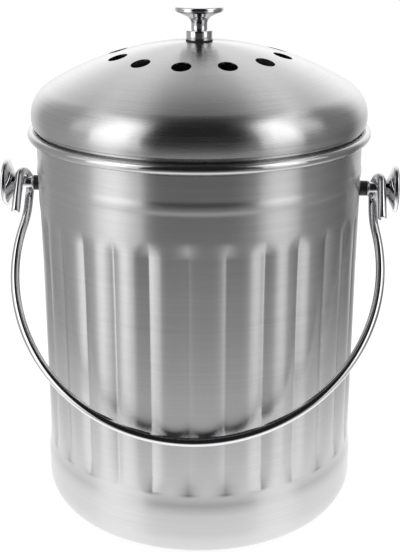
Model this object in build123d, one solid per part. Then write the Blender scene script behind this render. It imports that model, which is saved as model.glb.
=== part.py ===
from build123d import *
import os
from math import asin, atan2, cos, degrees, pi, sin, sqrt

# Kitchen compost pail: a drawn stainless pail with reeded sides and a rolled rim, a domed,
# vented lid that lifts off by its knob, and a wire bail hooked over two side posts.
# Millimetres, +Z up. The origin is the centre of the base. -Y is the front, where the bail
# hangs, and the posts lie on the X axis.

# ---- pail shell ----------------------------------------------------------------------------
rim_r = 91.5            # outside of the rolled rim
curl_d = 5.1            # thickness of the rolled rim
curl_turn = 280         # degrees that the sheet is rolled over
rim_z = 213.7           # height of the middle of the rolled rim
sheet_t = 0.6           # drawn sheet of pail and lid
foot_flare = 0.8        # the smooth foot stands this far outside the upper band
foot_fillet = 16.0      # rounding between foot and base
foot_top_z = 35.0       # where the smooth foot ends
base_ring_in = 19.8     # from the edge of the flat base to the middle of its pressed ring
base_ring_w = 7.0
base_ring_h = 1.0

# ---- reeds, and the raised ring above them ---------------------------------------------------
reed_count = 28
reed_low_z = 47.0       # the creases have their full depth from here ...
reed_drop = 45.7        # ... to this far under the middle of the rim
reed_fade = 9.0         # height over which a crease fades into the band above
reed_step = 0.4         # crests lie this far inside the smooth band above them
reed_depth = 1.1        # from crest to crease
fade_depth = 0.3        # the fading stretches start this far under the creases
reed_bury = 1.5         # the reeds end this far inside the fading stretches
ring_drop = 19.9        # the raised ring round the upper band lies this far under the rim
ring_w = 8.6
ring_h = 1.1

# ---- bail posts ------------------------------------------------------------------------------
post_drop = 31.5        # the posts lie this far under the middle of the rim
spacer_r = 4.1
spacer_len = 4.0
collar_r = 4.5          # small shoulder between spacer and wire
collar_len = 1.0
post_neck_r = 3.4
flare_gap = 0.05        # between the bail's tail and the flare of the cap
post_cap_h = 7.4        # from the neck to the top of the cap
cap_r = 12.8            # flared cap, the same on the posts and the lid knob
cap_edge = 2.5
cap_crown = 0.9
cap_round = 1.0         # rounded edges of the cap
flare_round = 4.0       # root of the flare
turned_round = 0.35     # small roundings of the turned pieces

# ---- screws, washers and seals ---------------------------------------------------------------
screw_r = 1.75
screw_head_r = 3.5
screw_head_h = 2.4
screw_grip = 8.0        # length inside a post or the knob
tap_depth = 9.0
tap_gap = 0.05          # thread clearance
hole_gap = 0.15         # screw clearance in plain holes
drive_w = 1.0           # cross recess
drive_l = 3.8
drive_depth = 1.3
washer_r = 4.8
washer_t = 0.8
seal_r = 5.2
seal_t = 1.0
seat_gap = 0.02         # between a flat face and a curved wall

# ---- bail wire -------------------------------------------------------------------------------
wire_d = 4.8
wire_play = 0.35        # between the wire and the neck of a post
hook_side_gap = 0.25    # between the wire and the post's shoulder
hook_shift = 3.7        # the tail hangs this much further out than the leg
tail_len = 21.0
tail_round = 0.8
bow_swell = 3.53        # the bow is this much wider than the legs stand apart
bow_drop = 43.5         # the bow's centre lies this far under the posts
leg_bend_r = 60.0       # easy bend between leg and bow
bow_wall_gap = 0.1      # between the hanging bow and the wall that it rests on

# ---- lid -------------------------------------------------------------------------------------
lid_set_in = 2.15       # the lid's side stands this far inside the rolled rim
lid_rise = 41.85        # from the lid's edge to its top
lid_side_h = 4.54       # upright side between the edge and the shoulder
shoulder_r = 17.4
lid_edge_gap = 2.2      # dark line between the lid's edge and the rolled rim
seat_w = 1.8            # the step that sits on the rim is this much wider than the mouth
seat_clearance = 0.3
skirt_clearance = 0.5   # skirt inside the mouth
skirt_len = 8.4
hem_in = 0.2            # inside radius of the pressed steps
vent_count = 12
vent_r = 5.0
vent_ring_r = 44.2
vent_turn = 22.3        # degrees from the right-hand post to the first vent

# ---- lid knob --------------------------------------------------------------------------------
knob_foot_r = 7.0
knob_foot_h = 5.0
knob_neck_r = 4.4
knob_neck_top = 10.6
knob_cap_h = 7.4
gasket_r = 7.6
gasket_t = 0.8

# ---- nut under the lid -----------------------------------------------------------------------
nut_flats = 7.0         # across the flats
nut_h = 2.8

# ---- filter under the vents, with the retainer that holds it -----------------------------------
filter_r = 57.0
filter_t = 9.0
filter_hole_r = 6.0
filter_rise = 1.2       # from the filter's upper edge to the dome
filter_clearance = 1.0  # filter inside the retainer's wall
retainer_wall = 2.0
retainer_h = 7.0
retainer_floor = 2.0
ledge_w = 5.0           # part of the floor that the filter's edge lies on
spoke_count = 8
spoke_w = 3.5
hub_r = 13.0
bar_ring_r = 34.0
bar_ring_w = 3.0
thumb_nut_r = 7.5
thumb_nut_h = 5.5
thumb_nut_flutes = 16
flute_r = 0.8
rod_tail = 2.0          # the knob's rod stands this far out of the thumb nut

# ---- worked out ------------------------------------------------------------------------------
wall_r = rim_r - curl_d + sheet_t
foot_r = wall_r + foot_flare
mouth_r = wall_r - sheet_t
crest_r = wall_r - reed_step
crease_r = crest_r - reed_depth
curl_mid_r = rim_r - curl_d / 2
rim_top_z = rim_z + curl_d / 2
reed_high_z = rim_z - reed_drop
fade_top_z = reed_high_z + reed_fade
ring_z = rim_z - ring_drop
post_z = rim_z - post_drop
wire_r = wire_d / 2
post_x = wall_r + seat_gap + spacer_len
hook_r = post_neck_r + wire_play + wire_r
leg_x = post_x + collar_len + hook_side_gap + wire_r
tail_x = leg_x + hook_shift
post_neck_top = tail_x + wire_r + flare_gap - post_x
post_len = post_neck_top + post_cap_h
bow_r = leg_x + bow_swell
bow_low = bow_drop + bow_r
lid_r = rim_r - lid_set_in
lid_edge_z = rim_top_z + lid_edge_gap
lid_top_z = lid_edge_z + lid_rise
seat_z = rim_top_z + seat_clearance
seat_r = mouth_r + seat_w
skirt_r = mouth_r - skirt_clearance
skirt_low_z = seat_z - skirt_len
hem_round = hem_in + sheet_t
shoulder_z = lid_edge_z + lid_side_h
dome_h = lid_top_z - shoulder_z
# The crown's arc runs into the shoulder's without a kink.
crown_r = (dome_h**2 - shoulder_r**2 + (lid_r - shoulder_r) ** 2) / (2 * (dome_h - shoulder_r))
knob_z = lid_top_z + gasket_t
knob_len = knob_neck_top + knob_cap_h
crown_mid_z = lid_top_z - crown_r
dome_in_r = crown_r - sheet_t
retainer_r = filter_r + filter_clearance + retainer_wall
filter_z = crown_mid_z + sqrt(dome_in_r**2 - filter_r**2) - filter_rise - filter_t
retainer_z = filter_z - retainer_floor
thumb_nut_z = retainer_z - thumb_nut_h
rod_low_z = thumb_nut_z - rod_tail


# ---- shared shapes ---------------------------------------------------------------------------
def turned(outline):
    """Turn a closed outline, drawn as (radius, height), round the Z axis."""
    return revolve(Plane.XZ * make_face(outline), Axis.Z)


def ring(outer_r, inner_r, thickness):
    """A flat ring that stands on z = 0."""
    return extrude(Circle(outer_r) - Circle(inner_r), thickness)


def s_bend(start, end):
    """Two equal arcs from one upright line of an outline over to another."""
    middle = ((start[0] + end[0]) / 2, (start[1] + end[1]) / 2)
    first = TangentArc(start, middle, tangent=(0, 1))
    return [first, TangentArc(middle, end, tangent=first % 1)]


def crown_line(radius, low_z, top_z):
    """A shallow crown from its edge to its middle."""
    rise = top_z - low_z
    sphere_r = (radius**2 + rise**2) / (2 * rise)
    half_z = top_z - sphere_r + sqrt(sphere_r**2 - radius**2 / 4)
    return ThreePointArc((radius, low_z), (radius / 2, half_z), (0, top_z))


def spool(foot_radius, foot_height, neck_radius, neck_top, length):
    """A turned post: a round foot, a waist and a flared cap, tapped from its foot."""
    edge_z = length - cap_crown
    side = FilletPolyline(
        (0, 0),
        (foot_radius, 0),
        (foot_radius, foot_height),
        (neck_radius, foot_height),
        (neck_radius, neck_top),
        (cap_r, edge_z - cap_edge),
        (cap_r, edge_z),
        radius=[turned_round, turned_round, turned_round, flare_round, cap_round],
    )
    body = turned(side + crown_line(cap_r, edge_z, length) + Line((0, length), (0, 0)))
    return body - extrude(Circle(screw_r + tap_gap), tap_depth)


def screw(length):
    """A pan-head machine screw: the shank stands on z = 0, the head hangs under it."""
    edge_h = screw_head_h / 2
    rim = Polyline((0, screw_head_h), (0, 0), (screw_head_r, 0), (screw_head_r, edge_h))
    head = turned(rim + crown_line(screw_head_r, edge_h, screw_head_h))
    slot = Pos(0, 0, screw_head_h) * Box(drive_l, drive_w, 2 * drive_depth)
    head -= slot + Rot(0, 0, 90) * slot
    return Rot(180, 0, 0) * head + extrude(Circle(screw_r), length)


# ---- pail ------------------------------------------------------------------------------------
def reed_bar(inset):
    """The reeded part of the pail as one upright bar, drawn in by the given inset."""
    half = pi / reed_count
    crease_x = crease_r * cos(half)
    reed_mid = (crest_r**2 - crease_r**2) / (2 * (crest_r - crease_x))
    reed_r = crest_r - reed_mid - inset
    crease = reed_mid * cos(half) + sqrt(reed_r**2 - (reed_mid * sin(half)) ** 2)
    crest = reed_mid + reed_r
    reeds = []
    for number in range(reed_count):
        # A crease lies at the middle of the front.
        middle = 2 * half * (number + 0.5) - pi / 2
        start, end = middle - half, middle + half
        reeds.append(
            ThreePointArc(
                (crease * cos(start), crease * sin(start)),
                (crest * cos(middle), crest * sin(middle)),
                (crease * cos(end), crease * sin(end)),
            )
        )
    low_z = foot_top_z + reed_bury
    return Pos(0, 0, low_z) * extrude(make_face(reeds), fade_top_z - reed_bury - low_z)


def pail_form(inset, top_z):
    """The pail as a solid block, drawn in by the given inset."""
    base_r = foot_r - foot_fillet
    groove_r = base_r - base_ring_in
    groove_in = groove_r - base_ring_w / 2
    groove_out = groove_r + base_ring_w / 2
    side_r = wall_r - inset
    core_r = crease_r - fade_depth - inset
    low_ring_z = ring_z - ring_w / 2
    high_ring_z = ring_z + ring_w / 2
    outline = [
        Line((0, inset), (groove_in, inset)),
        ThreePointArc((groove_in, inset), (groove_r, inset + base_ring_h), (groove_out, inset)),
        Line((groove_out, inset), (base_r, inset)),
        CenterArc((base_r, foot_fillet), foot_fillet - inset, 270, 90),
        Line((foot_r - inset, foot_fillet), (foot_r - inset, foot_top_z)),
        *s_bend((foot_r - inset, foot_top_z), (core_r, reed_low_z)),
        Line((core_r, reed_low_z), (core_r, reed_high_z)),
        *s_bend((core_r, reed_high_z), (side_r, fade_top_z)),
        Line((side_r, fade_top_z), (side_r, low_ring_z)),
        *s_bend((side_r, low_ring_z), (side_r + ring_h, ring_z)),
        *s_bend((side_r + ring_h, ring_z), (side_r, high_ring_z)),
        Polyline((side_r, high_ring_z), (side_r, top_z), (0, top_z), (0, inset)),
    ]
    return turned(outline) + reed_bar(inset)


def rolled_rim():
    """The sheet rolled outwards and round, nearly closed."""
    middle = (curl_mid_r, rim_z)
    outside = CenterArc(middle, curl_d / 2, 180, -curl_turn)
    inside = CenterArc(middle, curl_d / 2 - sheet_t, 180, -curl_turn)
    ends = [Line(outside @ 0, inside @ 0), Line(outside @ 1, inside @ 1)]
    return turned([outside, inside, *ends])


def pail_shell():
    """Reeded shell with its rolled rim and a screw hole under each post."""
    shell = pail_form(0, rim_z) - pail_form(sheet_t, rim_z + curl_d) + rolled_rim()
    across = Cylinder(screw_r + hole_gap, 2 * (wall_r + sheet_t))
    return shell - Pos(0, 0, post_z) * Rot(0, 90, 0) * across


# ---- what stands on the side of the pail -----------------------------------------------------
def on_side(piece, side, x):
    """Lay a piece on the posts' axis, pointing outwards, with its foot at x."""
    return Plane(origin=(side * x, 0, post_z), z_dir=(side, 0, 0)) * piece


def post_pieces(name, side):
    """Spacer, post, screw, washer and seal of one side."""
    seal_x = sqrt(mouth_r**2 - seal_r**2) - seat_gap - seal_t
    washer_x = seal_x - washer_t
    shank = post_x + screw_grip - washer_x
    hole_r = screw_r + hole_gap
    spacer = ring(spacer_r, hole_r, spacer_len)
    post = spool(collar_r, collar_len, post_neck_r, post_neck_top, post_len)
    return {
        name + "_post_spacer": on_side(spacer, side, post_x - spacer_len),
        name + "_post_knob": on_side(post, side, post_x),
        name + "_post_screw": on_side(screw(shank), side, washer_x),
        name + "_post_washer": on_side(ring(washer_r, hole_r, washer_t), side, washer_x),
        name + "_post_seal": on_side(ring(seal_r, hole_r, seal_t), side, seal_x),
    }


# ---- bail ------------------------------------------------------------------------------------
def bail_path():
    """Middle line of the wire, hanging straight down from posts at height 0."""
    straight = bow_drop - sqrt((bow_r + leg_bend_r) ** 2 - (leg_x + leg_bend_r) ** 2)
    share = bow_r / (bow_r + leg_bend_r)
    tail_end = (tail_x, -hook_r, -tail_len)
    tail_top = (tail_x, -hook_r, 0)
    hook_top = ((tail_x + leg_x) / 2, 0, sqrt(hook_r**2 + (hook_shift / 2) ** 2))
    leg_top = (leg_x, hook_r, 0)
    leg_low = (leg_x, hook_r, -straight)
    join = ((leg_x + leg_bend_r) * share, hook_r, -bow_drop + (bow_drop - straight) * share)
    half = [
        Line(tail_end, tail_top),
        ThreePointArc(tail_top, hook_top, leg_top),
        Line(leg_top, leg_low),
        TangentArc(leg_low, join, tangent=(0, 0, -1)),
    ]
    other_half = [mirror(edge, Plane.YZ) for edge in half]
    bow = ThreePointArc(join, (0, hook_r, -bow_low), (-join[0], join[1], join[2]))
    return Wire([line.edge() for line in [*half, bow, *other_half]])


def bail_lean():
    """Degrees that the hanging bail swings forward until its bow rests on the wall."""
    for rest_r, low_z in ((crest_r, reed_low_z), (foot_r, -bow_low)):
        reach = rest_r + wire_r + bow_wall_gap
        lean = atan2(hook_r, bow_low) + asin(reach / sqrt(hook_r**2 + bow_low**2))
        if post_z - hook_r * sin(lean) - bow_low * cos(lean) - wire_r > low_z:
            break
    return degrees(lean)


def bail_wire():
    """The wire, swung forward until its bow rests on the reeds, or on the foot under them."""
    path = bail_path()
    start = Plane(origin=(tail_x, -hook_r, -tail_len), z_dir=(0, 0, 1))
    wire = sweep(start * Circle(wire_r), path)
    rings = wire.edges().filter_by(GeomType.CIRCLE)
    tail_ends = [edge for edge in rings if edge.center().Y < 0 and edge.center().Z < -tail_len / 2]
    wire = fillet(tail_ends, tail_round)
    print(f"the bail leans {bail_lean():.2f} degrees, its wire is {path.length:.1f} mm long")
    return Pos(0, 0, post_z) * Rot(-bail_lean(), 0, 0) * wire


# ---- lid -------------------------------------------------------------------------------------
def lid_line(inset):
    """The lid's outer face, or the same line drawn in by the sheet, from crown to skirt end."""
    across = lid_r - shoulder_r
    turn = asin(across / (crown_r - shoulder_r))
    crown = CenterArc((0, crown_mid_z), crown_r - inset, 90, -degrees(turn))
    shoulder = CenterArc(
        (across, shoulder_z), shoulder_r - inset, 90 - degrees(turn), degrees(turn) - 90
    )
    steps = FilletPolyline(
        (lid_r - inset, shoulder_z),
        (lid_r - inset, lid_edge_z + inset),
        (seat_r - inset, lid_edge_z + inset),
        (seat_r - inset, seat_z + inset),
        (skirt_r - inset, seat_z + inset),
        (skirt_r - inset, skirt_low_z),
        radius=[hem_round - inset, hem_in + inset, hem_round - inset, hem_in + inset],
    )
    return crown + shoulder + steps


def lid_dome():
    """Pressed lid: crown, shoulder, hemmed edge, seat and skirt, pierced by the vents."""
    outside, inside = lid_line(0), lid_line(sheet_t)
    ends = Line(outside @ 0, inside @ 0) + Line(outside @ 1, inside @ 1)
    sheet = turned(outside.edges() + inside.edges() + ends.edges())
    punch = extrude(Circle(vent_r), crown_r)
    for spot in PolarLocations(vent_ring_r, vent_count, start_angle=vent_turn):
        sheet -= spot * Pos(0, 0, seat_z) * punch
    return sheet - Pos(0, 0, seat_z) * extrude(Circle(screw_r + hole_gap), crown_r)


def knob_pieces():
    """Gasket and knob on the crown, washer and nut under it, and the rod through them all."""
    washer_top = crown_mid_z + sqrt(dome_in_r**2 - washer_r**2) - seat_gap
    washer_z = washer_top - washer_t
    hole_r = screw_r + hole_gap
    knob = spool(knob_foot_r, knob_foot_h, knob_neck_r, knob_neck_top, knob_len)
    nut = RegularPolygon(nut_flats / 2, 6, major_radius=False) - Circle(screw_r + tap_gap)
    rod = extrude(Circle(screw_r), knob_z + screw_grip - rod_low_z)
    return {
        "lid_knob": Pos(0, 0, knob_z) * knob,
        "knob_gasket": Pos(0, 0, lid_top_z) * ring(gasket_r, hole_r, gasket_t),
        "knob_washer": Pos(0, 0, washer_z) * ring(washer_r, hole_r, washer_t),
        "knob_nut": Pos(0, 0, washer_z - nut_h) * extrude(nut, nut_h),
        "knob_screw": Pos(0, 0, rod_low_z) * rod,
    }


# ---- filter ----------------------------------------------------------------------------------
def filter_retainer():
    """A low-walled plate with a spoked floor and a hole for the rod."""
    wall = ring(retainer_r, retainer_r - retainer_wall, retainer_h)
    floor_r = retainer_r - retainer_wall
    floor = Circle(floor_r) - Circle(floor_r - ledge_w)
    floor += Circle(bar_ring_r + bar_ring_w / 2) - Circle(bar_ring_r - bar_ring_w / 2)
    floor += Circle(hub_r)
    for spot in PolarLocations(floor_r / 2, spoke_count):
        floor += spot * Rectangle(floor_r - ledge_w / 2, spoke_w)
    floor -= Circle(screw_r + hole_gap)
    return Pos(0, 0, retainer_z) * (wall + extrude(floor, retainer_floor))


def charcoal_filter():
    """The round filter pad, lying on the retainer's floor."""
    return Pos(0, 0, filter_z) * ring(filter_r, filter_hole_r, filter_t)


def filter_thumb_nut():
    """The fluted nut that holds the retainer up, turned by hand."""
    outline = Circle(thumb_nut_r) - Circle(screw_r + tap_gap)
    for spot in PolarLocations(thumb_nut_r, thumb_nut_flutes):
        outline -= spot * Circle(flute_r)
    return Pos(0, 0, thumb_nut_z) * extrude(outline, thumb_nut_h)


# ---- the whole object ------------------------------------------------------------------------
def all_pieces():
    """Every piece of the pail under its node name."""
    pieces = {"pail_shell": pail_shell(), "bail_wire": bail_wire(), "lid_dome": lid_dome()}
    pieces.update(post_pieces("left", -1))
    pieces.update(post_pieces("right", 1))
    pieces.update(knob_pieces())
    pieces["filter_retainer"] = filter_retainer()
    pieces["charcoal_filter"] = charcoal_filter()
    pieces["filter_thumb_nut"] = filter_thumb_nut()
    return pieces


os.makedirs("parts", exist_ok=True)
for node, piece in all_pieces().items():
    export_step(piece, f"parts/{node}.step")
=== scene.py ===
# %% [markdown]
# # A kitchen compost pail in brushed and polished steel
#
# The real pail is drawn from stainless sheet. Its side is pressed into 28 upright reeds under
# a raised ring and a rolled rim. A domed lid with a ring of vents sits loose on the rim, and a
# wire bail hangs on two turned posts. Nearly all of it is turned round one axis, so most pieces
# here are an outline that a Geometry Nodes tree turns round that axis.
#
# The CAD model comes first. Its sizes and joints are fixed, and all that follows rides on it.

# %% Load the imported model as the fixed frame
from math import asin, atan2, cos, degrees, pi, radians, sin, sqrt, tan

import bpy
from mathutils import Matrix, Vector


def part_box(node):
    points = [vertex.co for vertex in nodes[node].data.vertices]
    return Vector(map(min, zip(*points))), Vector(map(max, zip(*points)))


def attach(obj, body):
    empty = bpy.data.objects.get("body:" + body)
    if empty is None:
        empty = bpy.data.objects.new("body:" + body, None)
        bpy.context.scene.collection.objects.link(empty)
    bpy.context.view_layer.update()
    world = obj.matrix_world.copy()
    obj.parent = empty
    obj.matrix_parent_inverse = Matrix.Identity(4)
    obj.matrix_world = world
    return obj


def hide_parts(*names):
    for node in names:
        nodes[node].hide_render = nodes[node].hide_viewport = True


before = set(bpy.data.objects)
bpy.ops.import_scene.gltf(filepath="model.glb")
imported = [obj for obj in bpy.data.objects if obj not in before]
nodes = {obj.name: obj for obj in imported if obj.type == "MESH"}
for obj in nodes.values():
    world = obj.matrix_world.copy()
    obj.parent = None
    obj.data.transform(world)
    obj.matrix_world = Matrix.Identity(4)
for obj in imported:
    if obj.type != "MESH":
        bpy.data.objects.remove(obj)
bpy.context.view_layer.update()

# %% [markdown]
# ## Colours and nodes
#
# A colour is easiest to pick as an sRGB hex value, but Blender's sockets hold linear light, so
# one function turns the one into the other. Node trees are built in the script: a single small
# function adds any node, sets its properties and fills its sockets with values or links.

# %% A colour from its hex value, and one way to add a node
MM = 0.001      # sizes below are in millimetres, and Blender works in metres


def srgb(hex_value):
    """A linear colour from an sRGB hex value such as "C8C8C6"."""
    parts = [int(hex_value[start:start + 2], 16) / 255 for start in (0, 2, 4)]
    linear = [c / 12.92 if c <= 0.04045 else ((c + 0.055) / 1.055) ** 2.4 for c in parts]
    return (*linear, 1.0)


def add(tree, kind, sockets=None, **settings):
    """Add a node; sockets maps an input's name or number to a value or to the output it reads."""
    node = tree.nodes.new(kind)
    for name, value in settings.items():
        setattr(node, name, value)
    for key, value in (sockets or {}).items():
        if isinstance(value, bpy.types.NodeSocket):
            tree.links.new(value, node.inputs[key])
        else:
            node.inputs[key].default_value = value
    return node


print("steel grey as linear light:", [round(c, 3) for c in srgb("C4C4C3")])

# %% [markdown]
# ## The camera
#
# The photograph looks down at the pail at about 20 degrees from just right of its front, from
# some 60 cm away. Its lens is given for the tall side of the picture, so that the view doesn't
# depend on the render size.

# %% The camera at the photograph's view
CAMERA_AT = (0.0400, -0.5981, 0.3458)
CAMERA_TURN = (70.15, 0, 3.79)      # degrees: tipped up from looking straight down, swung left
CAMERA_SIDE = 3.8                   # degrees that it stands round from the pail's front
PICTURE_MM = 36.0                   # the height of the picture behind the lens
LENS_MM = 73.83

camera_data = bpy.data.cameras.new("photo_camera")
camera_data.sensor_fit = "VERTICAL"
camera_data.sensor_height = PICTURE_MM
camera_data.lens = LENS_MM
camera = bpy.data.objects.new("photo_camera", camera_data)
camera.location = CAMERA_AT
camera.rotation_euler = [radians(turn) for turn in CAMERA_TURN]
bpy.context.scene.collection.objects.link(camera)
bpy.context.scene.camera = camera
bpy.context.scene.view_settings.view_transform = "Standard"
print("the camera is", round(camera.location.length, 3), "m from the middle of the pail's base")

# %% [markdown]
# ## What the steel reflects
#
# Brushed steel looks the way its surroundings do. The real pail stood on white paper, with a
# tall softbox on each side and a white wall behind that fades into a dark ceiling and a dark
# room behind the camera. Walls could be built for that, but only the metal would ever see them.
# So the world gives this room to glossy rays alone, by their direction. Matt surfaces get an
# even light, and the camera sees plain white.

# %% How bright the room is, by height and by direction
ROOM_FRONT = 0.015      # behind the camera
ROOM_LEFT = 0.44        # the side walls
ROOM_RIGHT = 0.24
CEILING_SHARE = 0.15    # what is left of the side walls' light near the ceiling
AMBIENT = 0.75          # what matt surfaces get
# The wall behind, by how steeply a ray climbs: 0 is level, and 1 is straight up.
WALL_HEIGHTS = [(0.0, 1.10), (0.18, 1.28), (0.36, 1.28), (0.55, 1.16), (0.72, 1.06), (0.84, 0.80),
                (0.90, 0.40), (0.95, 0.11), (1.0, 0.04)]


def light_curve(tree, value, stops, top):
    """A smooth curve of brightness over 0 to 1, through (place, brightness) stops.

    A ramp's colours end at 1, so they are held as shares of top and multiplied by it after."""
    node = add(tree, "ShaderNodeValToRGB", {0: value})
    node.color_ramp.interpolation = "EASE"
    while len(node.color_ramp.elements) < len(stops):
        node.color_ramp.elements.new(0.5)
    for element, (place, bright) in zip(node.color_ramp.elements, stops):
        element.position = place
        element.color = (bright / top, bright / top, bright / top, 1)
    return add(tree, "ShaderNodeMath", {0: node.outputs[0], 1: top}, operation="MULTIPLY").outputs[0]


print("the wall's brightest stop is", max(bright for place, bright in WALL_HEIGHTS))

# %% The world: white for the camera, a studio for the steel
world = bpy.data.worlds.new("studio")
bpy.context.scene.world = world
world.use_nodes = True
sky = world.node_tree
sky.nodes.clear()

ray = add(sky, "ShaderNodeSeparateXYZ", {0: add(sky, "ShaderNodeTexCoord").outputs["Generated"]})
flat = add(sky, "ShaderNodeCombineXYZ", {"X": ray.outputs["X"], "Y": ray.outputs["Y"]})
compass = add(sky, "ShaderNodeVectorMath", {0: flat.outputs[0]}, operation="NORMALIZE")
compass = add(sky, "ShaderNodeSeparateXYZ", {0: compass.outputs[0]})
fades = {}      # each changes smoothly from low to high, as a direction's value goes from start to end
for name, value, start, end, low, high in (
        ("sides", compass.outputs["X"], -0.6, 0.6, ROOM_LEFT, ROOM_RIGHT),
        ("low_ceiling", ray.outputs["Z"], 0.90, 0.97, 1.0, CEILING_SHARE),
        ("past_front", compass.outputs["Y"], -0.86, -0.60, 0.0, 1.0),
        ("behind", compass.outputs["Y"], 0.58, 0.95, 0.0, 1.0)):
    fade = add(sky, "ShaderNodeMapRange",
               {"Value": value, "From Min": start, "From Max": end, "To Min": low, "To Max": high},
               interpolation_type="SMOOTHSTEP")
    fades[name] = fade.outputs[0]
sides = add(sky, "ShaderNodeMath", {0: fades["sides"], 1: fades["low_ceiling"]}, operation="MULTIPLY")
wall = light_curve(sky, ray.outputs["Z"], WALL_HEIGHTS, top=1.8)
seen_by = add(sky, "ShaderNodeLightPath")
shown = ROOM_FRONT
for share, brightness in ((fades["past_front"], sides.outputs[0]), (fades["behind"], wall)):
    shown = add(sky, "ShaderNodeMix", {0: share, 2: shown, 3: brightness}, data_type="FLOAT").outputs[0]
shown = add(sky, "ShaderNodeMix", {0: seen_by.outputs["Is Glossy Ray"], 2: AMBIENT, 3: shown},
            data_type="FLOAT").outputs[0]
shown = add(sky, "ShaderNodeMix", {0: seen_by.outputs["Is Camera Ray"], 2: shown, 3: 1.0},
            data_type="FLOAT").outputs[0]
light_out = add(sky, "ShaderNodeBackground", {"Color": srgb("FFFFFF"), "Strength": shown})
add(sky, "ShaderNodeOutputWorld", {"Surface": light_out.outputs[0]})
print("the world has", len(sky.nodes), "nodes")

# %% [markdown]
# ## Softboxes
#
# Two tall softboxes give the bright upright streaks on the pail and the white patches on the
# lid's shoulder. Area lights are real lamps with a real size, so they also show as soft-edged
# rectangles in polished metal. A softbox is brightest in its middle and has soft edges. One flat
# lamp can't show that, but lamps behind each other add up, so each softbox is a wide panel with
# a brighter core and a wing at its outer side. A strip over each side lights the lid from above.
# They are hidden from the camera only.

# %% Lamps of a softbox's size
def softbox(name, azimuth, distance, middle_z, width, height, radiance, aim_z=None):
    """A rectangle of light, upright unless it is aimed at a height; azimuths are from the camera."""
    turn = radians(azimuth + CAMERA_SIDE)
    data = bpy.data.lights.new(name, "AREA")
    data.shape = "RECTANGLE"
    data.size, data.size_y = width, height
    data.energy = radiance * pi * width * height
    lamp = bpy.data.objects.new(name, data)
    lamp.location = (distance * sin(turn), -distance * cos(turn), middle_z)
    aim = Vector((0, 0, middle_z if aim_z is None else aim_z))
    lamp.rotation_euler = (aim - lamp.location).to_track_quat("-Z", "Y").to_euler()
    lamp.visible_camera = False
    bpy.context.scene.collection.objects.link(lamp)


# Degrees round from the camera, then metres: away, up to the middle, width, height. Then radiance.
softbox("softbox_left", -56, 1.50, 1.11, 1.00, 2.18, 0.98)
softbox("softbox_left_core", -56, 1.45, 1.15, 0.52, 1.80, 0.58)
softbox("softbox_left_wing", -80, 1.45, 1.25, 0.70, 1.60, 0.56)
softbox("softbox_right", 55, 1.50, 1.11, 0.82, 2.18, 0.82)
softbox("softbox_right_core", 56.5, 1.45, 1.25, 0.44, 1.70, 0.80)
softbox("softbox_right_wing", 77, 1.45, 1.35, 0.75, 1.50, 0.82)
softbox("strip_left", -86, 0.90, 1.42, 1.3, 0.32, 0.60, aim_z=0.2)
softbox("strip_right", 88, 0.90, 1.48, 1.3, 0.32, 0.90, aim_z=0.2)

# %% [markdown]
# ## The floor
#
# White paper. For the camera it glows to plain white and keeps a soft contact shadow, because part of its
# white is real paper under the lamps. The steel sees the paper as a painted glow, laid out as it was lit in
# the photograph: a painted pool of light beside the pail and under each softbox, and painted shade towards
# the room in front.
# The wall of the pail leans on that more than on anything else, since it mirrors the floor.

# %% How bright the painted glow on the paper is, as the steel sees it
PAPER_GLOW = 0.72       # the part of the camera's white that doesn't depend on the lamps
PAINTED_GLOW_NEAR = 4.4        # at the middle of the pail, if PAINTED_GLOW_TOP didn't cut it off ...
PAINTED_GLOW_DECAY = 0.15      # ... and the metres over which it falls off to about a third
PAINTED_GLOW_TOP = 1.42
# Painted light: these stops paint pools of light on the paper under the softboxes, and shade towards the
# front.
# Far from the pail, by direction: 0 and 1 are behind it, 0.25 is left, 0.5 front and 0.75 right.
PAINTED_GLOW_FAR = [(0.0, 1.25), (0.10, 0.8), (0.18, 0.45), (0.26, 0.50), (0.348, 1.1), (0.395, 0.56),
             (0.44, 0.065), (0.56, 0.065), (0.61, 0.30), (0.66, 0.75), (0.73, 0.26), (0.83, 0.17),
             (0.91, 0.7), (1.0, 1.25)]

paper = bpy.data.materials.new("White_paper")
paper.use_nodes = True
tree = paper.node_tree
tree.nodes.clear()
place = add(tree, "ShaderNodeTexCoord").outputs["Object"]
spot = add(tree, "ShaderNodeSeparateXYZ", {0: place})
away = add(tree, "ShaderNodeVectorMath", {0: place}, operation="LENGTH").outputs["Value"]
near = add(tree, "ShaderNodeMath", {0: away, 1: -1 / PAINTED_GLOW_DECAY}, operation="MULTIPLY")
near = add(tree, "ShaderNodeMath", {0: near.outputs[0]}, operation="EXPONENT")
near = add(tree, "ShaderNodeMath", {0: near.outputs[0], 1: PAINTED_GLOW_NEAR}, operation="MULTIPLY")
front = add(tree, "ShaderNodeMath", {0: spot.outputs["Y"], 1: -1.0}, operation="MULTIPLY")
bearing = add(tree, "ShaderNodeMath", {0: spot.outputs["X"], 1: front.outputs[0]}, operation="ARCTAN2")
bearing = add(tree, "ShaderNodeMapRange", {"Value": bearing.outputs[0], "From Min": -pi, "From Max": pi})
far = light_curve(tree, bearing.outputs[0], PAINTED_GLOW_FAR, top=1.5)
painted_paper_glow = add(tree, "ShaderNodeMath", {0: near.outputs[0], 1: far, 2: 0.1}, operation="SMOOTH_MAX")
painted_paper_glow = add(tree, "ShaderNodeMath", {0: painted_paper_glow.outputs[0], 1: PAINTED_GLOW_TOP, 2: 0.2}, operation="SMOOTH_MIN")
print("the paper's light has", len(tree.nodes), "nodes")

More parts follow.
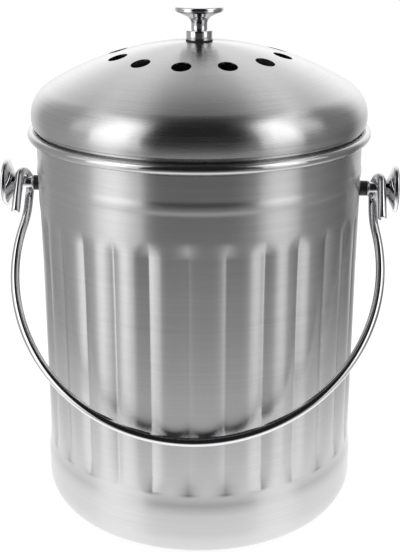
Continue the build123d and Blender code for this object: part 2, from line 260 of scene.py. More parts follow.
# %% White paper that the camera sees as white
seen_by = add(tree, "ShaderNodeLightPath")
shaded = add(tree, "ShaderNodeBsdfDiffuse", {"Color": srgb("A6A6A6")})
glow = add(tree, "ShaderNodeEmission", {"Strength": PAPER_GLOW})
camera_paper = add(tree, "ShaderNodeAddShader", {0: shaded.outputs[0], 1: glow.outputs[0]})
# Painted light: glossy rays see the paper glow with painted pools of light and shade, not with light from the
# lamps.
painted_glow_paper = add(tree, "ShaderNodeEmission", {"Strength": painted_paper_glow.outputs[0]})
matt_paper = add(tree, "ShaderNodeBsdfDiffuse", {"Color": srgb("E7E7E7")})
seen = matt_paper.outputs[0]
for kind, shader in (("Is Glossy Ray", painted_glow_paper), ("Is Camera Ray", camera_paper)):
    seen = add(tree, "ShaderNodeMixShader",
               {0: seen_by.outputs[kind], 1: seen, 2: shader.outputs[0]}).outputs[0]
add(tree, "ShaderNodeOutputMaterial", {"Surface": seen})

bpy.ops.mesh.primitive_grid_add(x_subdivisions=2, y_subdivisions=2, size=8.0)
floor = bpy.context.object
floor.name = "paper_floor"
floor.data.materials.append(paper)
print("paper of", round(floor.dimensions.x, 2), "m")

# %% [markdown]
# ## Finishes
#
# Brushed stainless (grade 430 or 304): the sheet is brushed round the pail with an abrasive
# belt, so its fine scratches run level. They spread each highlight upright into a streak. A bump
# of thousands of scratches could do that, but it would flicker, so the shader's anisotropy does
# it, along a tangent round the axis. The scratches that show are a noise drawn out into level
# lines. They vary the roughness, and a little of the tone.

# %% A material to build on
def surface(name, color, **sockets):
    """A new material with a Principled shader; sockets are named with _ for a space."""
    material = bpy.data.materials.new(name)
    material.use_nodes = True
    tree = material.node_tree
    tree.nodes.clear()
    values = {key.replace("_", " "): value for key, value in sockets.items()}
    shader = add(tree, "ShaderNodeBsdfPrincipled", {"Base Color": srgb(color), **values})
    add(tree, "ShaderNodeOutputMaterial", {"Surface": shader.outputs[0]})
    return material, tree, shader


# Real belt scratches are about 0.05 mm wide, too fine to show, so they are drawn coarser.
SCRATCH_WIDTHS = (0.6 * MM, 2.4 * MM)
SCRATCHES_A_METRE = 9.0     # along its line, a scratch changes every 11 cm
PATCH = 30 * MM             # where the brush pressed more and less


def scratches(tree, spot, radius, spun):
    """Two noises drawn out into level lines, one for each width; on a spun dome they run round it."""
    inwards = radius if spun else 0.0
    across = add(tree, "ShaderNodeMath", {0: spot.outputs["Z"], 1: inwards}, operation="SUBTRACT")
    flat = add(tree, "ShaderNodeCombineXYZ", {"X": spot.outputs["X"], "Y": spot.outputs["Y"]})
    stretch = (SCRATCHES_A_METRE, SCRATCHES_A_METRE, 0.0)
    along = add(tree, "ShaderNodeVectorMath", {0: flat.outputs[0], 1: stretch}, operation="MULTIPLY")
    lines = []
    for width in SCRATCH_WIDTHS:
        height = add(tree, "ShaderNodeMath", {0: across.outputs[0], 1: 1 / width}, operation="MULTIPLY")
        rise = add(tree, "ShaderNodeCombineXYZ", {"Z": height.outputs[0]})
        at = add(tree, "ShaderNodeVectorMath", {0: along.outputs[0], 1: rise.outputs[0]}, operation="ADD")
        noise = add(tree, "ShaderNodeTexNoise",
                    {"Vector": at.outputs[0], "Scale": 1.0, "Detail": 3.0, "Roughness": 0.6})
        lines.append(noise.outputs[0])
    return lines


print("scratches are drawn", [round(width / MM, 1) for width in SCRATCH_WIDTHS], "mm wide")

# %% [markdown]
# Two places differ from the plain brushing. Rolling the rim burnished it, so it is smoother than the wall.
# And the vents' punched edges were sheared, not brushed, so they are duller, and their tone is painted nearly
# black as the shade inside the holes.
# Both are found from the place and the direction of the surface, inside the same material.

# %% Brushed and spun stainless steel
ROUGH_SWING = 0.03      # how much the scratches change the roughness
DARK, LIGHT = 0.92, 1.06    # and the tone
BURNISHED = 0.55        # the share of the roughness that is left on the rolled rim
# Painted shade: the vents' walls are darkened this far, as the shade inside the holes.
SHEARED_EDGE_SHADE = 0.12          # the share of the tone that is left on a vent's sheared edge
VENTS_OUT = 54 * MM     # the vents lie inside this radius


def brushed_steel(name, color, roughness, anisotropy, spun, rolled_z=1.0):
    """Stainless steel with scratches that run round the Z axis, on a wall or on a spun dome.

    Above rolled_z the sheet was rolled to a rim, which burnishes it."""
    material, tree, shader = surface(name, color, Metallic=1.0, Anisotropic=anisotropy,
                                     Anisotropic_Rotation=0.25)
    tangent = add(tree, "ShaderNodeTangent", direction_type="RADIAL", axis="Z")
    tree.links.new(tangent.outputs[0], shader.inputs["Tangent"])
    shape = add(tree, "ShaderNodeTexCoord").outputs
    spot = add(tree, "ShaderNodeSeparateXYZ", {0: shape["Object"]})
    flat = add(tree, "ShaderNodeCombineXYZ", {"X": spot.outputs["X"], "Y": spot.outputs["Y"]})
    radius = add(tree, "ShaderNodeVectorMath", {0: flat.outputs[0]}, operation="LENGTH").outputs["Value"]
    lines = scratches(tree, spot, radius, spun)
    patches = add(tree, "ShaderNodeTexNoise", {"Vector": shape["Object"], "Scale": 1 / PATCH, "Detail": 1.0})
    both = add(tree, "ShaderNodeMix", {0: patches.outputs[0], 2: lines[0], 3: lines[1]}, data_type="FLOAT")

    rough = add(tree, "ShaderNodeMapRange",
                {"Value": both.outputs[0], "From Min": 0.3, "From Max": 0.7,
                 "To Min": roughness - ROUGH_SWING, "To Max": roughness + ROUGH_SWING})
    rolled = add(tree, "ShaderNodeMapRange",
                 {"Value": spot.outputs["Z"], "From Min": rolled_z, "From Max": rolled_z + 1.5 * MM,
                  "To Min": 1.0, "To Max": BURNISHED})
    rough = add(tree, "ShaderNodeMath", {0: rough.outputs[0], 1: rolled.outputs[0]}, operation="MULTIPLY")
    tree.links.new(rough.outputs[0], shader.inputs["Roughness"])

    shade = add(tree, "ShaderNodeMapRange",
                {"Value": both.outputs[0], "From Min": 0.3, "From Max": 0.7, "To Min": DARK, "To Max": LIGHT})
    if spun:        # a sheared edge stands upright, in a crown that faces up
        upward = add(tree, "ShaderNodeSeparateXYZ", {0: shape["Normal"]}).outputs["Z"]
        upward = add(tree, "ShaderNodeMath", {0: upward}, operation="ABSOLUTE").outputs[0]
        # Painted shade: the vents' upright walls get a darker tone, as the shade inside the holes, on top of
        # their sheared, duller finish.
        sheared_and_shaded = add(tree, "ShaderNodeMapRange",
                      {"Value": upward, "From Min": 0.35, "From Max": 0.6, "To Min": SHEARED_EDGE_SHADE, "To Max": 1.0})
        outside = add(tree, "ShaderNodeMapRange",
                      {"Value": radius, "From Min": VENTS_OUT, "From Max": VENTS_OUT + 4 * MM})
        dull_and_shaded = add(tree, "ShaderNodeMath", {0: sheared_and_shaded.outputs[0], 1: outside.outputs[0]},
                   operation="MAXIMUM")
        shade = add(tree, "ShaderNodeMath", {0: shade.outputs[0], 1: dull_and_shaded.outputs[0]}, operation="MULTIPLY")
    tone = add(tree, "ShaderNodeVectorMath", {0: srgb(color)[:3], 1: shade.outputs[0]}, operation="MULTIPLY")
    tree.links.new(tone.outputs[0], shader.inputs["Base Color"])
    bump = add(tree, "ShaderNodeBump", {"Strength": 0.25, "Distance": 0.004 * MM, "Height": lines[0]})
    tree.links.new(bump.outputs[0], shader.inputs["Normal"])
    return material


# Belt-brushed wall: highlights run up and down it as long soft streaks, and fine lines cross them.
brushed_wall = brushed_steel("Brushed_stainless_wall", "C9C9C9", 0.31, 0.98, spun=False, rolled_z=209.5 * MM)
# Spun lid: a little smoother, so its patches of light have clearer edges, with rings round them.
brushed_lid = brushed_steel("Brushed_stainless_lid", "C9C9C9", 0.26, 0.97, spun=True)
print("brushed steel has", len(brushed_wall.node_tree.nodes), "nodes")

# %% [markdown]
# The small parts have finishes with no direction. Each is a noise at the size of its own grain,
# which varies the roughness, the tone and, where it can be felt, the height. One even value is
# simpler, but it makes a surface look computed.

# %% A finish with a grain
def grained(name, color, low, high, grain, bump_mm=0.0, tint=0.0, **sockets):
    """A finish whose roughness, tone and height follow one noise of the given grain in millimetres."""
    material, tree, shader = surface(name, color, **sockets)
    place = add(tree, "ShaderNodeTexCoord").outputs["Object"]
    noise = add(tree, "ShaderNodeTexNoise", {"Vector": place, "Scale": 1 / (grain * MM), "Detail": 4.0})
    noise = noise.outputs[0]
    for start, end, reach in ((low, high, "Roughness"), (1 - tint, 1 + tint, "Base Color")):
        value = add(tree, "ShaderNodeMapRange",
                    {"Value": noise, "From Min": 0.3, "From Max": 0.7, "To Min": start, "To Max": end})
        if reach == "Base Color":
            value = add(tree, "ShaderNodeVectorMath", {0: srgb(color)[:3], 1: value.outputs[0]},
                        operation="MULTIPLY")
        tree.links.new(value.outputs[0], shader.inputs[reach])
    if bump_mm:
        bump = add(tree, "ShaderNodeBump", {"Strength": 1.0, "Distance": bump_mm * MM, "Height": noise})
        tree.links.new(bump.outputs[0], shader.inputs["Normal"])
    return material


# Chrome plate on turned bar and wire: mirror bright, with only a trace of polish haze.
chrome = grained("Polished_chrome_plate", "D6D6D8", 0.03, 0.07, 4.0, tint=0.01, Metallic=1.0)
# Zinc plate on screws, washers and nuts: a blurred, slightly blotchy grey shine.
screw_steel = grained("Zinc_plated_steel", "B4B6B8", 0.22, 0.36, 0.8, tint=0.05, Metallic=1.0)
# Nylon, moulded: near black, with a soft satin light on its edges.
black_plastic = grained("Satin_black_nylon", "141414", 0.32, 0.45, 0.4, 0.02, tint=0.12)
# Polypropylene, moulded: a waxy dark grey that is a little duller than the nylon.
retainer_plastic = grained("Moulded_dark_polypropylene", "1C1D1E", 0.38, 0.52, 0.6, 0.03, tint=0.15)
# Rubber, moulded: matt black that hardly catches any light.
rubber = grained("Matt_black_rubber", "17171A", 0.60, 0.75, 0.5, 0.03, tint=0.15)
# Felt filled with carbon: no shine at all, and dark specks the size of its granules.
felt = grained("Carbon_filled_felt", "26282A", 0.90, 1.0, 0.35, 0.12, tint=0.45)
print("finishes:", [material.name for material in bpy.data.materials])

# %% [markdown]
# ## Outlines
#
# A turned piece is drawn once, as points of (radius, height) in millimetres, going out from the
# axis at the bottom and round to the axis at the top. A ring's outline ends where it starts. Arcs
# keep the presses' and the lathe's real roundings, because it is the roundings that catch the
# light. A Bevel modifier could round the edges too, but not each by its own size.

# %% Arcs, bends and rounded corners
def arc(middle, radius, start, end, steps):
    """Points along an arc, by its angles in degrees, both ends included."""
    turns = [radians(start + (end - start) * step / steps) for step in range(steps + 1)]
    return [(middle[0] + radius * cos(turn), middle[1] + radius * sin(turn)) for turn in turns]


def s_bend(start, end, steps):
    """Two equal arcs from one upright line over to another."""
    width, height = end[0] - start[0], end[1] - start[1]
    radius = (width**2 + height**2) / (4 * abs(width))
    side, turn = (1 if width > 0 else -1), 2 * atan2(abs(width), height)
    slide = [(radius * (1 - cos(turn * n / steps)), radius * sin(turn * n / steps)) for n in range(steps + 1)]
    first = [(start[0] + side * r, start[1] + z) for r, z in slide]
    second = [(end[0] - side * r, end[1] - z) for r, z in reversed(slide)]
    return first + second[1:]


def rounded(corners, steps=5):
    """An outline through corners given as (radius, height) or (radius, height, rounding)."""
    points = [Vector(corner[:2]) for corner in corners]
    line = []
    for number, corner in enumerate(corners):
        if len(corner) == 2:
            line.append(tuple(points[number]))
            continue
        to_last = (points[number - 1] - points[number]).normalized()
        to_next = (points[number + 1] - points[number]).normalized()
        half = to_last.angle(to_next) / 2
        middle = points[number] + (to_last + to_next).normalized() * corner[2] / sin(half)
        reach = corner[2] / tan(half)
        first = points[number] + to_last * reach - middle
        second = points[number] + to_next * reach - middle
        turn = first.angle_signed(second)
        for step in range(steps + 1):
            spot = middle + first @ Matrix.Rotation(turn * step / steps, 2)
            line.append(tuple(spot))
    return line


def crown_line(radius, low, top, steps):
    """A shallow crown from its edge to its middle."""
    rise = top - low
    ball = (radius**2 + rise**2) / (2 * rise)
    return arc((0, top - ball), ball, degrees(atan2(ball - rise, radius)), 90, steps)


print("a rounded corner has", len(rounded([(0, 0), (5, 0, 1), (5, 5)])), "points")

# %% [markdown]
# ## The turning tree
#
# A Screw modifier could turn an outline, but not press reeds into it. So one Geometry Nodes tree
# makes every turned piece. It lays a grid over the piece, one row for each outline point, and
# moves each grid point to the outline's radius and height at its own angle. Each outline point
# also says how far the reeds are pressed in at its height, from 0 in the smooth bands to 1 where
# they have their full depth, so each crease fades out into the bands as it does in pressed
# sheet. Columns crowd together at the creases to keep them crisp.

# %% How every tree begins and ends
def new_tree(name, **inputs):
    """A Geometry Nodes tree with named inputs, and its input node."""
    tree = bpy.data.node_groups.new(name, "GeometryNodeTree")
    tree.interface.new_socket("Geometry", in_out="INPUT", socket_type="NodeSocketGeometry")
    for label, kind in inputs.items():
        tree.interface.new_socket(label.replace("_", " "), in_out="INPUT", socket_type="NodeSocket" + kind)
    tree.interface.new_socket("Geometry", in_out="OUTPUT", socket_type="NodeSocketGeometry")
    return tree, add(tree, "NodeGroupInput").outputs


def closing(tree, geometry, finish, sharp=35):
    """End a tree: smooth faces that stay sharp over real edges, realized, with their material."""
    angle = add(tree, "GeometryNodeInputMeshEdgeAngle")
    is_sharp = add(tree, "FunctionNodeCompare", {0: angle.outputs["Unsigned Angle"], 1: radians(sharp)},
                   data_type="FLOAT", operation="GREATER_THAN")
    smooth = add(tree, "GeometryNodeSetShadeSmooth", {"Geometry": geometry, "Shade Smooth": True},
                 domain="FACE")
    edged = add(tree, "GeometryNodeSetShadeSmooth",
                {"Geometry": smooth.outputs[0], "Selection": is_sharp.outputs[0], "Shade Smooth": False},
                domain="EDGE")
    real = add(tree, "GeometryNodeRealizeInstances", {0: edged.outputs[0]})
    coated = add(tree, "GeometryNodeSetMaterial", {"Geometry": real.outputs[0], "Material": finish})
    add(tree, "NodeGroupOutput", {0: coated.outputs[0]})


turning, given = new_tree("Turned_outline", Columns="Int", Reeds="Int", Reed_middle="Float",
                          Reed_radius="Float", Crease_width="Float", Crowding="Float", Finish="Material")
print("the turning tree takes", [socket.name for socket in given if socket.name])

# %% The sums that turn and press, one Math node a line
sums = {socket.name: socket for socket in given if socket.type in ("INT", "VALUE")}
sums["rows"] = add(turning, "GeometryNodeAttributeDomainSize", {0: given["Geometry"]}).outputs["Point Count"]
sums["index"] = add(turning, "GeometryNodeInputIndex").outputs[0]
for name, operation, *terms in (
        # The grid's points are counted up each column in turn.
        ("grid columns", "ADD", "Columns", 1.0),
        ("count", "ADD", "index", 0.5),
        ("columns counted", "DIVIDE", "count", "rows"),
        ("column", "FLOOR", "columns counted"),
        ("points before", "MULTIPLY", "column", "rows"),
        ("row", "SUBTRACT", "index", "points before"),
        # Which reed a column is in, and its share across that reed, crowded towards the creases.
        ("columns by reeds", "MULTIPLY", "column", "Reeds"),
        ("reeds", "DIVIDE", "columns by reeds", "Columns"),
        ("reed", "FLOOR", "reeds"),
        ("even share", "FRACT", "reeds"),
        ("share turned", "MULTIPLY", "even share", 2 * pi),
        ("wave", "SINE", "share turned"),
        ("crowded wave", "MULTIPLY", "wave", "Crowding"),
        ("crowded by", "DIVIDE", "crowded wave", 2 * pi),
        ("share", "SUBTRACT", "even share", "crowded by"),
        # The angle round the axis, which starts in front.
        ("reeds passed", "ADD", "reed", "share"),
        ("reeds turned", "MULTIPLY", "reeds passed", 2 * pi),
        ("turn", "DIVIDE", "reeds turned", "Reeds"),
        ("angle", "SUBTRACT", "turn", pi / 2),
        ("cosine", "COSINE", "angle"),
        ("sine", "SINE", "angle"),
        # The climb from crease to crest, 0 to 1, with a small bowl at its foot for a rounding.
        ("far share", "SUBTRACT", 1.0, "share"),
        ("near share", "MINIMUM", "share", "far share"),
        ("climb", "MULTIPLY", "near share", 2.0),
        ("climb square", "MULTIPLY", "climb", "climb"),
        ("width square", "MULTIPLY", "Crease width", "Crease width"),
        ("bowl square", "ADD", "climb square", "width square"),
        ("bowl root", "SQRT", "bowl square"),
        ("bowl", "SUBTRACT", "bowl root", "Crease width"),
        ("full square", "ADD", "width square", 1.0),
        ("full root", "SQRT", "full square"),
        ("full bowl", "SUBTRACT", "full root", "Crease width"),
        ("rounded climb", "DIVIDE", "bowl", "full bowl"),
        # The angle from the crest, and how far in the reed's own arc lies there.
        ("descent", "SUBTRACT", 1.0, "rounded climb"),
        ("descent turned", "MULTIPLY", "descent", pi),
        ("off crest", "DIVIDE", "descent turned", "Reeds"),
        ("crest sine", "SINE", "off crest"),
        ("offset", "MULTIPLY", "Reed middle", "crest sine"),
        ("offset square", "MULTIPLY", "offset", "offset"),
        ("radius square", "POWER", "Reed radius", 2.0),
        ("chord square", "SUBTRACT", "radius square", "offset square"),
        ("chord", "SQRT", "chord square"),
        ("crest cosine", "COSINE", "off crest"),
        ("reach", "MULTIPLY", "Reed middle", "crest cosine"),
        ("lobe", "ADD", "reach", "chord"),
        ("crest", "ADD", "Reed middle", "Reed radius"),
        ("pressed in", "SUBTRACT", "lobe", "crest")):
    inputs = {number: sums.get(term, term) for number, term in enumerate(terms)}
    sums[name] = add(turning, "ShaderNodeMath", inputs, operation=operation).outputs[0]
print("the turning tree works out", len(sums), "values")

# %% Move the grid's points, and close it to a skin
CLOSING_GAP = 0.004 * MM    # points this near are one point: at the poles and along the seam

grid = add(turning, "GeometryNodeMeshGrid", {"Vertices X": sums["grid columns"], "Vertices Y": sums["rows"]})
place = add(turning, "GeometryNodeInputPosition").outputs[0]
outline_at = add(turning, "GeometryNodeSampleIndex",
                 {"Geometry": given["Geometry"], "Value": place, "Index": sums["row"]},
                 data_type="FLOAT_VECTOR", domain="POINT")
spot = add(turning, "ShaderNodeSeparateXYZ", {0: outline_at.outputs[0]})
press = add(turning, "GeometryNodeInputNamedAttribute", {"Name": "reed_press"}, data_type="FLOAT").outputs[0]
press_at = add(turning, "GeometryNodeSampleIndex",
               {"Geometry": given["Geometry"], "Value": press, "Index": sums["row"]},
               data_type="FLOAT", domain="POINT")
radius = add(turning, "ShaderNodeMath",
             {0: sums["pressed in"], 1: press_at.outputs[0], 2: spot.outputs["X"]}, operation="MULTIPLY_ADD")
x, y = [add(turning, "ShaderNodeMath", {0: radius.outputs[0], 1: sums[way]}, operation="MULTIPLY").outputs[0]
        for way in ("cosine", "sine")]
turned_to = add(turning, "ShaderNodeCombineXYZ", {"X": x, "Y": y, "Z": spot.outputs["Z"]})
moved = add(turning, "GeometryNodeSetPosition",
            {"Geometry": grid.outputs[0], "Position": turned_to.outputs[0]})
closed = add(turning, "GeometryNodeMergeByDistance", {"Geometry": moved.outputs[0], "Distance": CLOSING_GAP})
closing(turning, closed.outputs[0], given["Finish"])
print("the turning tree has", len(turning.nodes), "nodes")

# %% [markdown]
# The tree is put on an object that holds just the outline's points. Its evaluated result becomes
# a plain mesh, and the modifier goes: what is left is an ordinary closed mesh in its place.

# %% Turn an outline into a plain mesh
def grown(name, mesh, *steps):
    """An object whose mesh has been through the given (tree, inputs) steps, as a plain mesh."""
    piece = bpy.data.objects.new(name, mesh)
    bpy.context.scene.collection.objects.link(piece)
    for tree, inputs in steps:
        modifier = piece.modifiers.new(tree.name, "NODES")
        modifier.node_group = tree
        for socket in tree.interface.items_tree:
            if socket.in_out == "INPUT" and socket.name in inputs:
                modifier[socket.identifier] = inputs[socket.name]
    depsgraph = bpy.context.evaluated_depsgraph_get()
    plain = bpy.data.meshes.new_from_object(piece.evaluated_get(depsgraph))
    piece.modifiers.clear()
    piece.data = plain
    plain.name = name
    print(name, "has", sum(len(face.vertices) - 2 for face in plain.polygons), "triangles")
    return piece


def outline_mesh(points, press=None):
    """The points of an outline in millimetres, as a mesh for the turning tree.

    press says for each point how far the reeds are pressed in there."""
    mesh = bpy.data.meshes.new("outline")
    mesh.from_pydata([(r * MM, 0, z * MM) for r, z in points], [], [])
    held = mesh.attributes.new("reed_press", "FLOAT", "POINT")
    held.data.foreach_set("value", press or [0.0] * len(points))
    return mesh


def turned(name, points, finish, columns):
    """A plain turned piece that stands on the Z axis."""
    return grown(name, outline_mesh(points), (turning, {"Columns": columns, "Reeds": 1, "Finish": finish}))


def put(piece, body, slot, *replaced, where=None):
    """Place a finished piece in its mesh, give it its body and hide the CAD nodes that it replaces; slot is
    not used.
    """
    if where:
        piece.data.transform(where)
    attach(piece, body)
    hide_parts(*replaced)


# %% [markdown]
# ## The pail's shell
#
# One sheet, 0.6 mm thick: a flat base with a pressed ring, a rounded foot, the reeds, a smooth
# band with a raised ring, and a rim that is rolled outwards and round. A Solidify modifier could
# thicken a single skin, but it can't roll a curl that ends beside its own wall. So outside and
# inside are one closed outline: up the outside, round inside the curl, back round its outside,
# and down the inside of the wall.

# %% The pail's sizes, in millimetres
SHEET = 0.6
RIM_Z = 213.7           # the middle of the rolled rim
CURL_R = 2.55
CURL_MID_R = 88.95
CURL_END = -100         # degrees: the sheet's edge comes round to here, from 180
WALL_R = 87.0
FOOT_R = 87.8
FOOT_FILLET = 16.0
FOOT_TOP_Z = 27.0       # the foot starts to draw in here ...
FOOT_IN_Z = 40.0        # ... and has the crests' radius from here
CREST_R = 86.6
CREASE_R = 85.25
CREASE_LOW_Z = 38.0     # the creases start here ...
REED_LOW_Z = 43.0       # ... have their full depth between these two ...
REED_HIGH_Z = 168.0
FADE_TOP_Z = 177.5      # ... and end here
WIDEN_Z = 140.0         # from here up, the crests widen to the wall's radius
RING_Z = 193.8
RING_W = 8.6
RING_H = 0.45
BASE_RING_R = 52.0
BASE_RING_W = 7.0
BASE_RING_H = 1.0
REEDS = 28
REED_COLUMNS = 14
CREASE_WIDTH = 0.05     # the rounding in a crease, as a share of half a reed
CROWDING = 0.72         # 0 is even columns, 1 has them all but touch at the creases

half_reed = pi / REEDS
reed_middle = (CREST_R**2 - CREASE_R**2) / (2 * (CREST_R - CREASE_R * cos(half_reed)))
print("each reed is an arc of", round(CREST_R - reed_middle, 1), "mm radius")


# %% The shell's outline
def spread(low, high, steps):
    """Heights spread evenly from low to high, both included."""
    return [low + (high - low) * step / steps for step in range(steps + 1)]


def pressed(z):
    """How far the reeds are pressed in at a height: 0 in the smooth bands, 1 between them."""
    from_foot = (z - CREASE_LOW_Z) / (REED_LOW_Z - CREASE_LOW_Z)
    from_top = (FADE_TOP_Z - z) / (FADE_TOP_Z - REED_HIGH_Z)
    share = min(1, max(0, min(from_foot, from_top)))
    return share * share * (3 - 2 * share)


def wall_side(inset, fine):
    """The base and wall from the axis up, drawn in by the inset, as it is without reeds."""
    base_r = FOOT_R - FOOT_FILLET
    line = [(0, inset), (0.5, inset)]
    line += [(BASE_RING_R + BASE_RING_W / 2 * x, inset + BASE_RING_H * (1 - x * x))
             for x in (-1, -0.6, -0.2, 0.2, 0.6, 1)]
    line += arc((base_r, FOOT_FILLET), FOOT_FILLET - inset, 270, 360, 7 * fine)
    line += [(FOOT_R - inset, z) for z in spread(FOOT_FILLET, FOOT_TOP_Z, 4 * fine)[1:]]
    line += s_bend((FOOT_R - inset, FOOT_TOP_Z), (CREST_R - inset, FOOT_IN_Z), 6 * fine)[1:]
    for z in spread(FOOT_IN_Z, REED_HIGH_Z, 9 * fine)[1:] + spread(REED_HIGH_Z, FADE_TOP_Z, 8 * fine)[1:]:
        widened = min(1, max(0, (z - WIDEN_Z) / (FADE_TOP_Z - WIDEN_Z)))
        line.append((CREST_R + (WALL_R - CREST_R) * widened - inset, z))
    low, high = RING_Z - RING_W / 2, RING_Z + RING_W / 2
    line += [(WALL_R - inset, z) for z in spread(FADE_TOP_Z, low, 3 * fine)[1:-1]]
    line += s_bend((WALL_R - inset, low), (WALL_R - inset + RING_H, RING_Z), 3 * fine)
    line += s_bend((WALL_R - inset + RING_H, RING_Z), (WALL_R - inset, high), 3 * fine)[1:]
    return line + [(WALL_R - inset, z) for z in spread(high, RIM_Z, 3 * fine)[1:-1]]


outside, inside = wall_side(0.0, 2), wall_side(SHEET, 1)[::-1]
curl = arc((CURL_MID_R, RIM_Z), CURL_R - SHEET, 180, CURL_END, 14)
curl += arc((CURL_MID_R, RIM_Z), CURL_R, CURL_END, 180, 20)
shell_points = outside + curl + inside
shell_press = [pressed(z) for r, z in outside] + [0.0] * len(curl) + [pressed(z) for r, z in inside]
print("the shell's outline has", len(shell_points), "points")

# %% The shell itself
shell = grown("reeded_shell", outline_mesh(shell_points, shell_press),
              (turning, {"Columns": REEDS * REED_COLUMNS, "Reeds": REEDS, "Reed middle": reed_middle * MM,
                         "Reed radius": (CREST_R - reed_middle) * MM, "Crease width": CREASE_WIDTH,
                         "Crowding": CROWDING, "Finish": brushed_wall}))
put(shell, "pail", "reeded_steel", "pail_shell")

# %% [markdown]
# ## The lid
#
# Pressed from the same sheet: a shallow crown that runs into a tight shoulder, a hemmed edge
# that hangs just over the rim, a step that sits on it and a skirt that centres the lid. The
# vents are punched after the pressing, so their walls stand upright in the slanting crown. A
# second tree does the punching: one cylinder, repeated on a ring of points, taken out in one go.
# Twelve Boolean modifiers would do the same, with twelve objects to keep in step.

# %% The lid's sizes and outline
LID_R = 89.35
LID_EDGE_Z = 218.45
LID_TOP_Z = 260.3
SHOULDER_R = 17.4
SHOULDER_Z = LID_EDGE_Z + 4.54
SIDE_UNDER = 13         # degrees that the side curves back in above the lid's edge
HEM_R = 88.76
HEM_IN = 0.2            # the inside rounding of a fold in the sheet
SEAT_R = 87.6
SEAT_Z = 216.55
SKIRT_R = 85.9
SKIRT_LOW_Z = SEAT_Z - 8.4

dome_h = LID_TOP_Z - SHOULDER_Z
shoulder_mid = LID_R - SHOULDER_R
crown_r = (dome_h**2 - SHOULDER_R**2 + shoulder_mid**2) / (2 * (dome_h - SHOULDER_R))
crown_mid_z = LID_TOP_Z - crown_r
crown_turn = degrees(asin(shoulder_mid / (crown_r - SHOULDER_R)))


def lid_side(inset, fine):
    """The lid's face from crown to skirt, drawn in by the inset."""
    crown = arc((0, crown_mid_z), crown_r - inset, 90, 90 - crown_turn, 24 * fine)
    shoulder = arc((shoulder_mid, SHOULDER_Z), SHOULDER_R - inset, 90 - crown_turn, -SIDE_UNDER, 18 * fine)
    hem, tuck = HEM_IN + SHEET - inset, HEM_IN + inset
    steps = rounded([shoulder[-1], (HEM_R - inset, LID_EDGE_Z + inset, hem),
                     (SEAT_R - inset, LID_EDGE_Z + inset, tuck), (SEAT_R - inset, SEAT_Z + inset, hem),
                     (SKIRT_R - inset, SEAT_Z + inset, tuck), (SKIRT_R - inset, SKIRT_LOW_Z)])
    return crown + shoulder[1:] + steps[1:]


lid_points = lid_side(SHEET, 1) + lid_side(0.0, 2)[::-1]
print("the crown is part of a ball of", round(crown_r, 1), "mm radius")

# %% A tree that punches a ring of holes
punching, given = new_tree("Punched_holes", Holes="Int", Hole_radius="Float", Ring_radius="Float",
                           First_turn="Float", Middle_hole_radius="Float", Punch_height="Float",
                           Punch_length="Float", Finish="Material")
spots = add(punching, "GeometryNodeMeshCircle", {"Vertices": given["Holes"], "Radius": given["Ring radius"]})
punch, middle = [add(punching, "GeometryNodeMeshCylinder",
                     {"Vertices": sides, "Radius": given[name], "Depth": given["Punch length"]})
                 for sides, name in ((64, "Hole radius"), (32, "Middle hole radius"))]
ring = add(punching, "GeometryNodeInstanceOnPoints",
           {"Points": spots.outputs[0], "Instance": punch.outputs[0]})
lift = add(punching, "ShaderNodeCombineXYZ", {"Z": given["Punch height"]})
spin = add(punching, "ShaderNodeCombineXYZ", {"Z": given["First turn"]})
ring_up = add(punching, "GeometryNodeTransform",
              {"Geometry": ring.outputs[0], "Translation": lift.outputs[0], "Rotation": spin.outputs[0]})
middle_up = add(punching, "GeometryNodeTransform",
                {"Geometry": middle.outputs[0], "Translation": lift.outputs[0]})
cut = add(punching, "GeometryNodeMeshBoolean", {"Mesh 1": given["Geometry"], "Mesh 2": ring_up.outputs[0]},
          operation="DIFFERENCE", solver="MANIFOLD")
punching.links.new(middle_up.outputs[0], cut.inputs["Mesh 2"])
closing(punching, cut.outputs[0], given["Finish"])
print("the punching tree has", len(punching.nodes), "nodes")

# %% The lid, turned and then punched
VENTS = 12
VENT_R = 5.0
VENT_RING_R = 44.2
VENT_TURN = 22.3        # degrees round to the first vent
HOLE_R = 1.9            # for the knob's rod, and in the other small parts on a screw
PUNCH_LEN = 120.0
PUNCH_Z = SEAT_Z + PUNCH_LEN / 2 + 4    # the punches' middle, so they end above the lid's edge

lid = grown("domed_lid", outline_mesh(lid_points),
            (turning, {"Columns": 240, "Reeds": 1, "Finish": brushed_lid}),
            (punching, {"Holes": VENTS, "Hole radius": VENT_R * MM, "Ring radius": VENT_RING_R * MM,
                        "First turn": radians(VENT_TURN), "Middle hole radius": HOLE_R * MM,
                        "Punch height": PUNCH_Z * MM, "Punch length": PUNCH_LEN * MM,
                        "Finish": brushed_lid}))
put(lid, "lid", "lid_steel", "lid_dome")

# %% [markdown]
# ## Knobs and posts
#
# The lid's knob and the two posts are turned from bar and chrome plated, all with the same
# flared cap. They are spools: a round foot, a waist, and a cap with a slight crown. One function
# draws them all, so that they stay a set. Polished metal shows every facet, so they are turned
# with many columns and real edge roundings.

# %% One spool outline for the knob and the posts
CAP_R = 12.8
CAP_EDGE = 2.5
CAP_CROWN = 0.9
CAP_ROUND = 1.15
FLARE_ROUND = 4.5       # the hollow from the waist out to the cap
TURNED_EDGE = 0.35      # the lathe's small edges
TAP_R = 1.8
TAP_DEPTH = 9.0


